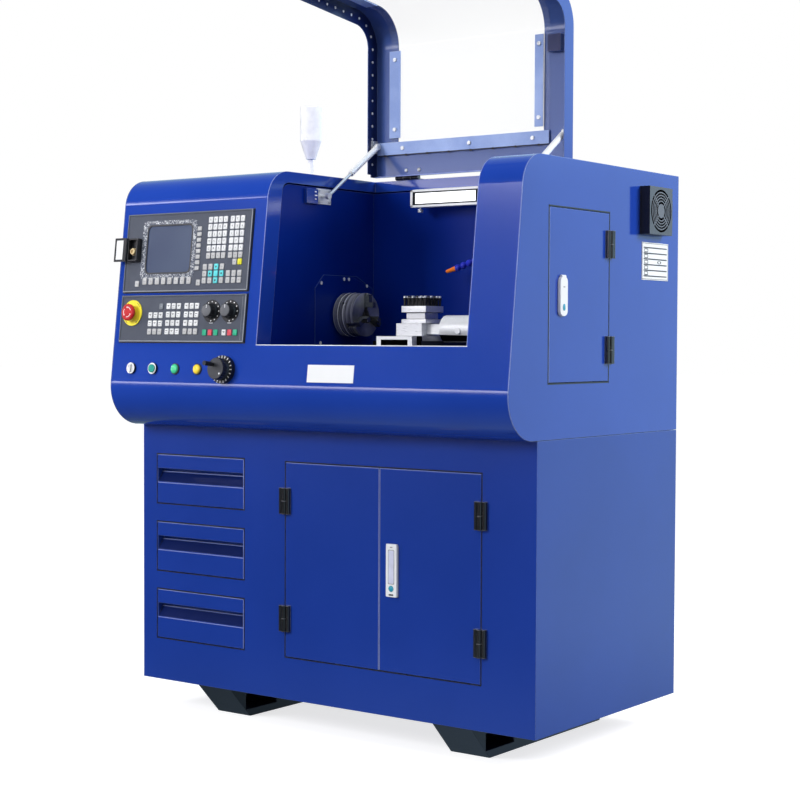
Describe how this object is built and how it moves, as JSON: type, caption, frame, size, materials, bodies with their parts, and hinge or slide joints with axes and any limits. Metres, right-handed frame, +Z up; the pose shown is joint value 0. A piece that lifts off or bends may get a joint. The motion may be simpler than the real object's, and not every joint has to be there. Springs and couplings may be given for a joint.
{
  "type": "benchtop cnc lathe",
  "caption": "Slant-front CNC lathe in a blue sheet-metal enclosure with an open bent lid, a control panel, a chuck and tool post, on a cabinet with drawers and doors.",
  "frame": {"origin": "on the floor, under the middle of the overall bounding box with the lid open", "axes": "+X along the spindle axis from the headstock to the open end, +Y towards the back, +Z up"},
  "size_m": [1.2296, 0.8386, 1.8318],
  "materials": {
    "blue_sheet": "gloss royal blue paint",
    "dark_paint": "dark grey paint",
    "panel_grey": "dark grey front film on plastic",
    "black_metal": "satin black",
    "white_paint": "white paint",
    "white_plastic": "gloss white",
    "black_plastic": "matt black",
    "steel": "ground steel",
    "iron": "machined cast iron",
    "clear_pane": "clear polycarbonate",
    "screen_glass": "dark display glass",
    "red_plastic": "gloss red",
    "yellow_plastic": "gloss yellow",
    "green_plastic": "gloss green",
    "blue_plastic": "blue hose segments",
    "aluminium": "satin"
  },
  "bodies": {
    "machine": {"cabinet": "blue_sheet", "foot_channels": "dark_paint", "enclosure_wrap": "blue_sheet", "left_side_panel": "blue_sheet", "right_side_panel": "blue_sheet", "rear_panel": "blue_sheet", "chamber_liner": "blue_sheet", "headstock_cover": "blue_sheet", "lathe_bed": "iron", "headstock": "iron", "servo_motors": "black_metal", "control_panels": "panel_grey", "screen": "screen_glass", "panel_keys": "white_plastic", "panel_rings": "yellow_plastic", "pilot_lamps": "yellow_plastic", "port_box": "black_plastic", "plates": "white_paint", "fan_housing": "black_plastic", "chamber_brackets": "steel", "signal_lamp": "white_plastic", "fixed_hinge_leaves": "black_metal", "coolant_tank": "steel", "drive_rack": "aluminium"},
    "drawer_low": {"drawer_low": "blue_sheet"},
    "drawer_mid": {"drawer_mid": "blue_sheet"},
    "drawer_top": {"drawer_top": "blue_sheet"},
    "left_door": {"left_door": "blue_sheet"},
    "right_door": {"right_door": "blue_sheet"},
    "right_door_handle": {"right_door_handle": "white_plastic"},
    "side_door": {"side_door": "blue_sheet"},
    "side_door_handle": {"side_door_handle": "white_plastic"},
    "rear_door": {"rear_door": "blue_sheet"},
    "lid": {"lid_frame": "blue_sheet", "lid_pane": "clear_pane", "lid_fittings": "blue_sheet"},
    "strut_left_tube": {"strut_left_tube": "white_paint"},
    "strut_left_rod": {"strut_left_rod": "steel"},
    "strut_right_tube": {"strut_right_tube": "white_paint"},
    "strut_right_rod": {"strut_right_rod": "steel"},
    "estop_mushroom": {"estop_mushroom": "red_plastic"},
    "start_button": {"start_button": "green_plastic"},
    "selector_switch": {"selector_switch": "aluminium"},
    "feed_knob": {"feed_knob": "black_plastic"},
    "speed_knob": {"speed_knob": "black_plastic"},
    "handwheel": {"handwheel": "black_plastic"},
    "crank_grip": {"crank_grip": "black_plastic"},
    "port_flap": {"port_flap": "black_plastic"},
    "spindle": {"spindle": "steel", "chuck_body": "steel"},
    "jaw_1": {"jaw_1": "steel"},
    "jaw_2": {"jaw_2": "steel"},
    "jaw_3": {"jaw_3": "steel"},
    "carriage": {"carriage": "steel"},
    "z_screw": {"z_screw": "steel"},
    "cross_slide": {"cross_slide": "aluminium"},
    "turret_head": {"turret_head": "steel"},
    "fan_rotor": {"fan_rotor": "black_plastic"},
    "work_lamp": {"work_lamp": "aluminium"},
    "coolant_nozzle": {"coolant_nozzle": "blue_plastic"}
  },
  "joints": [
    {"name": "drawer_low_slide", "type": "slide", "parent": "machine", "child": "drawer_low", "axis": [0, -1, 0], "range_m": [0, 0.45]},
    {"name": "drawer_mid_slide", "type": "slide", "parent": "machine", "child": "drawer_mid", "axis": [0, -1, 0], "range_m": [0, 0.45]},
    {"name": "drawer_top_slide", "type": "slide", "parent": "machine", "child": "drawer_top", "axis": [0, -1, 0], "range_m": [0, 0.45]},
    {"name": "left_door_hinge", "type": "hinge", "parent": "machine", "child": "left_door", "pos_m": [-0.1305, -0.24973, 0], "axis": [0, 0, -1], "range_deg": [0, 110]},
    {"name": "right_door_hinge", "type": "hinge", "parent": "machine", "child": "right_door", "pos_m": [0.442, -0.24973, 0], "axis": [0, 0, 1], "range_deg": [0, 110]},
    {"name": "right_door_handle_pivot", "type": "hinge", "parent": "right_door", "child": "right_door_handle", "pos_m": [0, -0.24703, 0.48], "axis": [-1, 0, 0], "range_deg": [0, 40]},
    {"name": "side_door_hinge", "type": "hinge", "parent": "machine", "child": "side_door", "pos_m": [0.59425, 0.06402, 0], "axis": [0, 0, 1], "range_deg": [0, 110]},
    {"name": "side_door_handle_pivot", "type": "hinge", "parent": "side_door", "child": "side_door_handle", "pos_m": [0.59155, 0, 1.0995], "axis": [0, -1, 0], "range_deg": [0, 40]},
    {"name": "rear_door_hinge", "type": "hinge", "parent": "machine", "child": "rear_door", "pos_m": [0.567, 0.41327, 0], "axis": [0, 0, -1], "range_deg": [0, 110]},
    {"name": "lid_hinge", "type": "hinge", "parent": "machine", "child": "lid", "pos_m": [0, 0.11377, 1.369], "axis": [1, 0, 0], "range_deg": [0, 90]},
    {"name": "strut_left_pivot", "type": "hinge", "parent": "lid", "child": "strut_left_tube", "pos_m": [0, 0.09177, 1.45], "axis": [1, 0, 0], "range_deg": [-110.98, 0]},
    {"name": "strut_left_slide", "type": "slide", "parent": "strut_left_tube", "child": "strut_left_rod", "axis": [0, 0.8212, 0.5707], "range_m": [0, 0.09854]},
    {"name": "strut_right_pivot", "type": "hinge", "parent": "lid", "child": "strut_right_tube", "pos_m": [0, 0.09177, 1.45], "axis": [1, 0, 0], "range_deg": [-110.98, 0]},
    {"name": "strut_right_slide", "type": "slide", "parent": "strut_right_tube", "child": "strut_right_rod", "axis": [0, 0.8212, 0.5707], "range_m": [0, 0.09854]},
    {"name": "estop_push", "type": "slide", "parent": "machine", "child": "estop_mushroom", "axis": [0, 0.9932, -0.1167], "range_m": [0, 0.004]},
    {"name": "start_push", "type": "slide", "parent": "machine", "child": "start_button", "axis": [0, 0.9932, -0.1167], "range_m": [0, 0.003], "stiffness_N_per_m": 800},
    {"name": "selector_turn", "type": "hinge", "parent": "machine", "child": "selector_switch", "pos_m": [-0.54025, -0.35663, 0.8825], "axis": [0, -0.9932, 0.1167], "range_deg": [-45, 45]},
    {"name": "feed_knob_turn", "type": "hinge", "parent": "machine", "child": "feed_knob", "pos_m": [-0.28075, -0.34007, 1.02353], "axis": [0, -0.9932, 0.1167], "range_deg": [-150, 150]},
    {"name": "speed_knob_turn", "type": "hinge", "parent": "machine", "child": "speed_knob", "pos_m": [-0.22075, -0.34007, 1.02353], "axis": [0, -0.9932, 0.1167], "range_deg": [-150, 150]},
    {"name": "handwheel_turn", "type": "hinge", "parent": "machine", "child": "handwheel", "pos_m": [-0.22825, -0.35663, 0.8825], "axis": [0, -0.9932, 0.1167], "continuous": true},
    {"name": "crank_grip_spin", "type": "hinge", "parent": "handwheel", "child": "crank_grip", "pos_m": [-0.23725, -0.35547, 0.89243], "axis": [0, -0.9932, 0.1167], "continuous": true},
    {"name": "port_flap_hinge", "type": "hinge", "parent": "machine", "child": "port_flap", "pos_m": [-0.57475, -0.34252, 1.18089], "axis": [0, 0.1167, 0.9932], "range_deg": [0, 180]},
    {"name": "spindle_spin", "type": "hinge", "parent": "machine", "child": "spindle", "pos_m": [0, -0.01523, 1.019], "axis": [1, 0, 0], "continuous": true},
    {"name": "jaw_1_slide", "type": "slide", "parent": "spindle", "child": "jaw_1", "axis": [0, 0, 1], "range_m": [-0.004, 0.008]},
    {"name": "jaw_2_slide", "type": "slide", "parent": "spindle", "child": "jaw_2", "axis": [0, -0.866, -0.5], "range_m": [-0.004, 0.008]},
    {"name": "jaw_3_slide", "type": "slide", "parent": "spindle", "child": "jaw_3", "axis": [0, 0.866, -0.5], "range_m": [-0.004, 0.008]},
    {"name": "carriage_slide", "type": "slide", "parent": "machine", "child": "carriage", "axis": [1, 0, 0], "range_m": [-0.145, 0.1]},
    {"name": "z_screw_spin", "type": "hinge", "parent": "machine", "child": "z_screw", "pos_m": [0, -0.01523, 0.865], "axis": [1, 0, 0], "continuous": true},
    {"name": "cross_slide_slide", "type": "slide", "parent": "carriage", "child": "cross_slide", "axis": [0, 1, 0], "range_m": [-0.008, 0.06]},
    {"name": "turret_index", "type": "hinge", "parent": "cross_slide", "child": "turret_head", "pos_m": [0.16525, -0.08823, 0], "axis": [0, 0, 1], "continuous": true},
    {"name": "fan_spin", "type": "hinge", "parent": "machine", "child": "fan_rotor", "pos_m": [0, 0.26677, 1.268], "axis": [1, 0, 0], "continuous": true},
    {"name": "work_lamp_tilt", "type": "hinge", "parent": "machine", "child": "work_lamp", "pos_m": [0, 0.06577, 1.309], "axis": [1, 0, 0], "range_deg": [-30, 45]},
    {"name": "nozzle_swivel", "type": "hinge", "parent": "machine", "child": "coolant_nozzle", "pos_m": [0.27075, 0.07977, 0], "axis": [0, 0, 1], "range_deg": [-10, 70]}
  ],
  "couplings": [
    {"joint": "strut_left_pivot", "follows": "lid_hinge", "ratio": -1.2275},
    {"joint": "strut_left_slide", "follows": "lid_hinge", "m_per_rad": 0.062411},
    {"joint": "strut_right_pivot", "follows": "lid_hinge", "ratio": -1.2275},
    {"joint": "strut_right_slide", "follows": "lid_hinge", "m_per_rad": 0.062411},
    {"joint": "jaw_2_slide", "follows": "jaw_1_slide", "ratio": 1},
    {"joint": "jaw_3_slide", "follows": "jaw_1_slide", "ratio": 1},
    {"joint": "z_screw_spin", "follows": "carriage_slide", "rad_per_m": 1256.6}
  ]
}
